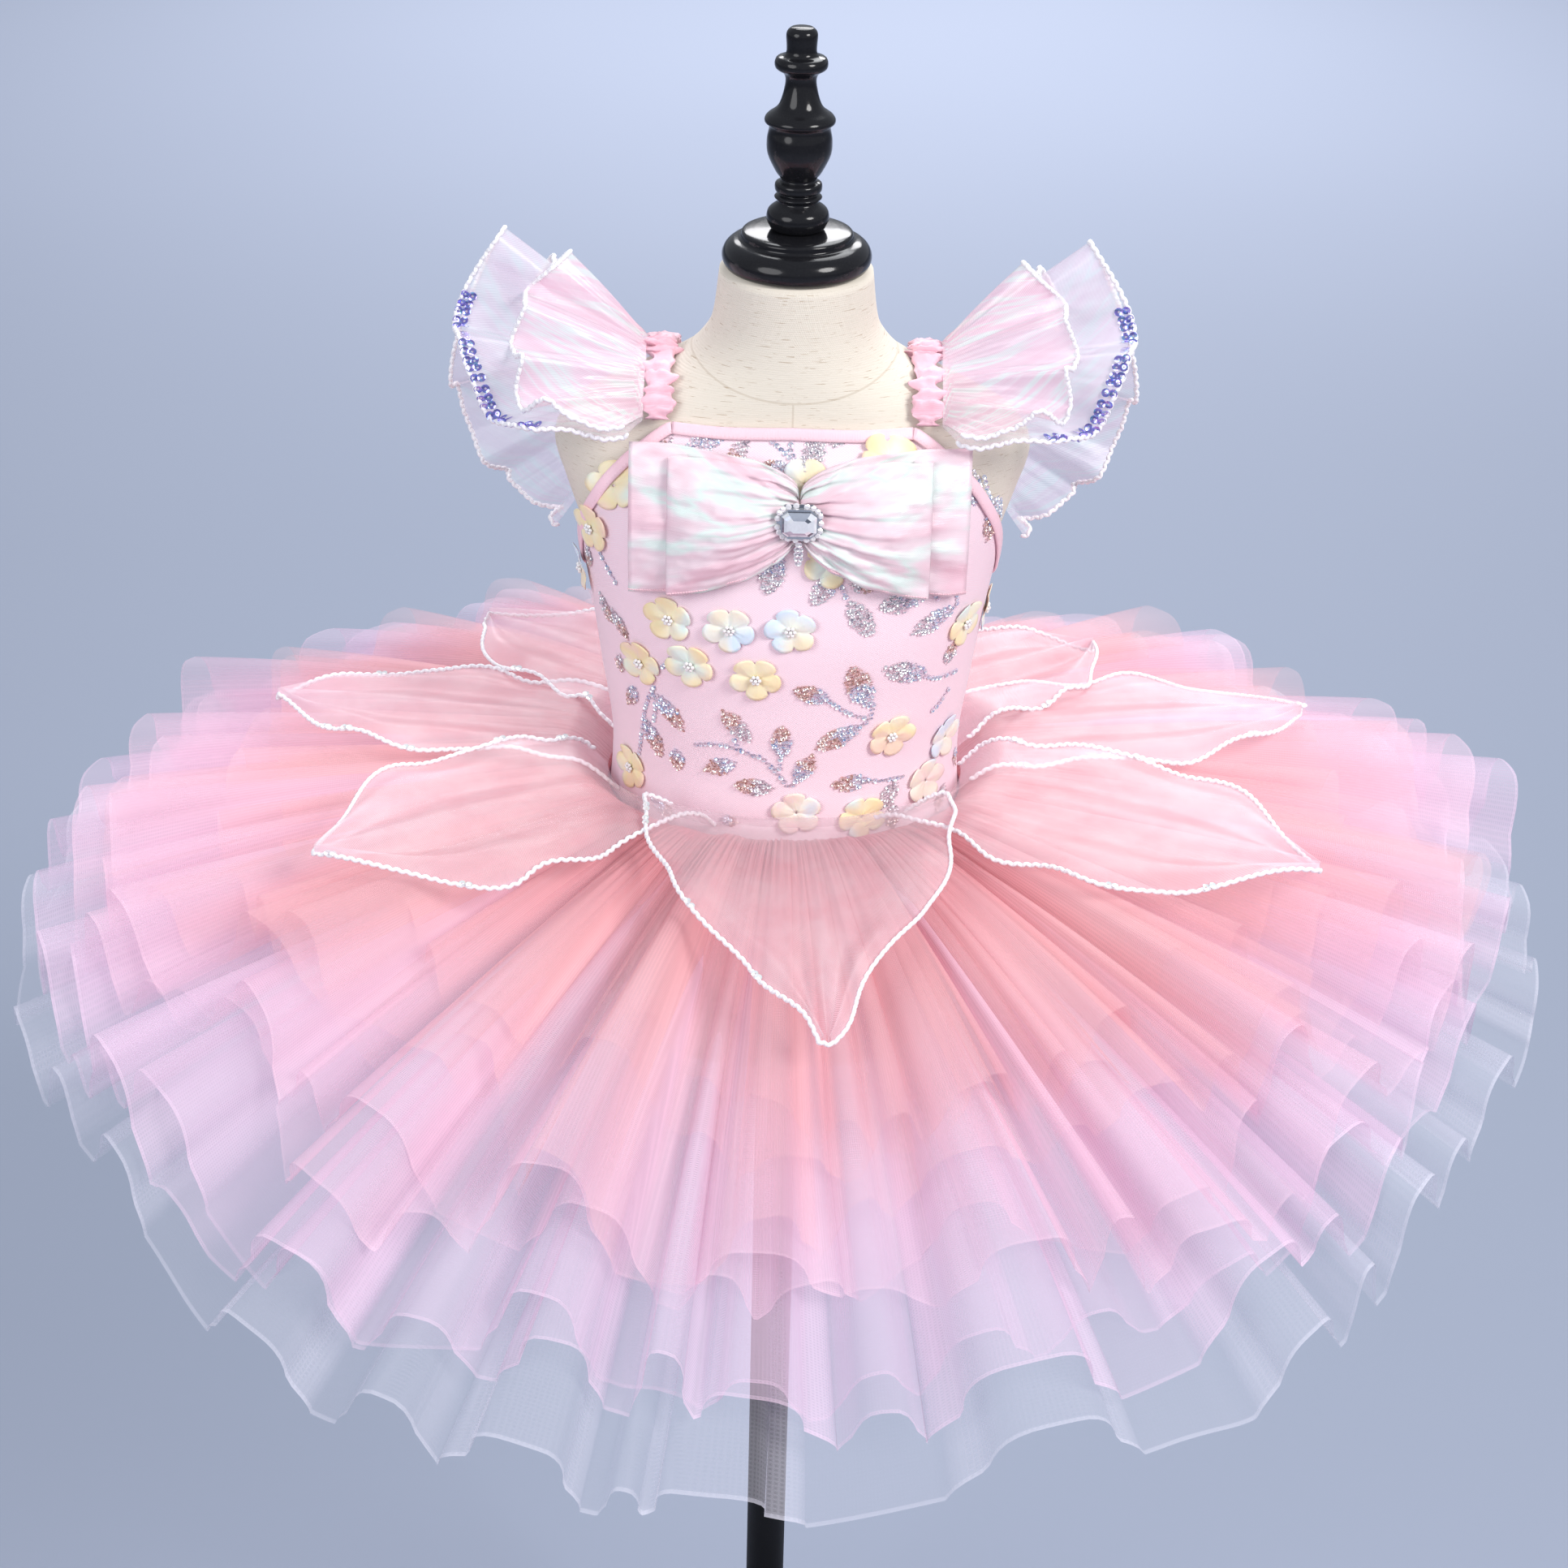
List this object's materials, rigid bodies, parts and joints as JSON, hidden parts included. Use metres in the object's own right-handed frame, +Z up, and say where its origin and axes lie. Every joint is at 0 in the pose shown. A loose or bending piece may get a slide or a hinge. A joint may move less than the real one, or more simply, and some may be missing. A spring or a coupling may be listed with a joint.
{
  "type": "child's ballet dress on a limbless dress form",
  "caption": "Sleeveless ballet dress with flutter wings, chest bow, organza petals and a layered tulle skirt, worn by a limbless dress form on a pole and round base.",
  "frame": {"origin": "middle of the base plate's underside, on the floor under the pole", "axes": "+Z up the pole, -Y towards the dress's front, +X to the wearer's left"},
  "size_m": [0.8632, 0.8343, 1.2635],
  "materials": {
    "linen": "matt slubbed linen cover",
    "black_wood": "gloss black lacquer on turned wood",
    "black_metal": "satin black paint",
    "bodice_cloth": "stretch cloth under fine mesh",
    "binding": "folded elastic with a soft sheen",
    "ruched_strap": "organza gathered over elastic",
    "sheer_organza": "sheer crisp organza",
    "iridescent_organza": "sheer organza with a green and pink shimmer",
    "silver": "polished",
    "stone": "cut glass",
    "white_net": "stiff white net",
    "pale_pink_tulle": "soft tulle",
    "lilac_pink_tulle": "soft tulle",
    "coral_tulle": "soft tulle",
    "petal_organza": "crisp organza with a corded edge",
    "flower_cloth": "heat-set cloth petals"
  },
  "bodies": {
    "root": {"form_torso": "linen", "neck_disc": "black_wood", "finial": "black_wood", "pole": "black_metal", "base_collar": "black_metal", "base_plate": "black_metal", "bodice_front": "bodice_cloth", "bodice_back": "bodice_cloth", "neck_binding_front": "binding", "neck_binding_back": "binding", "armhole_binding_left": "binding", "armhole_binding_right": "binding", "strap_left": "ruched_strap", "strap_right": "ruched_strap", "wing_long_left": "sheer_organza", "wing_long_right": "sheer_organza", "wing_short_left": "iridescent_organza", "wing_short_right": "iridescent_organza", "bow_outer_left": "iridescent_organza", "bow_outer_right": "iridescent_organza", "bow_inner_left": "iridescent_organza", "bow_inner_right": "iridescent_organza", "brooch_setting": "silver", "brooch_stone": "stone", "skirt_net": "white_net", "skirt_pale_pink": "pale_pink_tulle", "skirt_lilac_pink": "lilac_pink_tulle", "skirt_coral": "coral_tulle", "petal_front": "petal_organza", "petal_right_front": "petal_organza", "petal_right_side": "petal_organza", "petal_right_back": "petal_organza", "petal_back": "petal_organza", "petal_left_back": "petal_organza", "petal_left_side": "petal_organza", "petal_left_front": "petal_organza", "flower_01": "flower_cloth", "flower_02": "flower_cloth", "flower_03": "flower_cloth", "flower_04": "flower_cloth", "flower_05": "flower_cloth", "flower_06": "flower_cloth", "flower_07": "flower_cloth", "flower_08": "flower_cloth", "flower_09": "flower_cloth", "flower_10": "flower_cloth", "flower_11": "flower_cloth", "flower_12": "flower_cloth", "flower_13": "flower_cloth", "flower_14": "flower_cloth", "flower_15": "flower_cloth", "flower_16": "flower_cloth"}
  },
  "joints": []
}
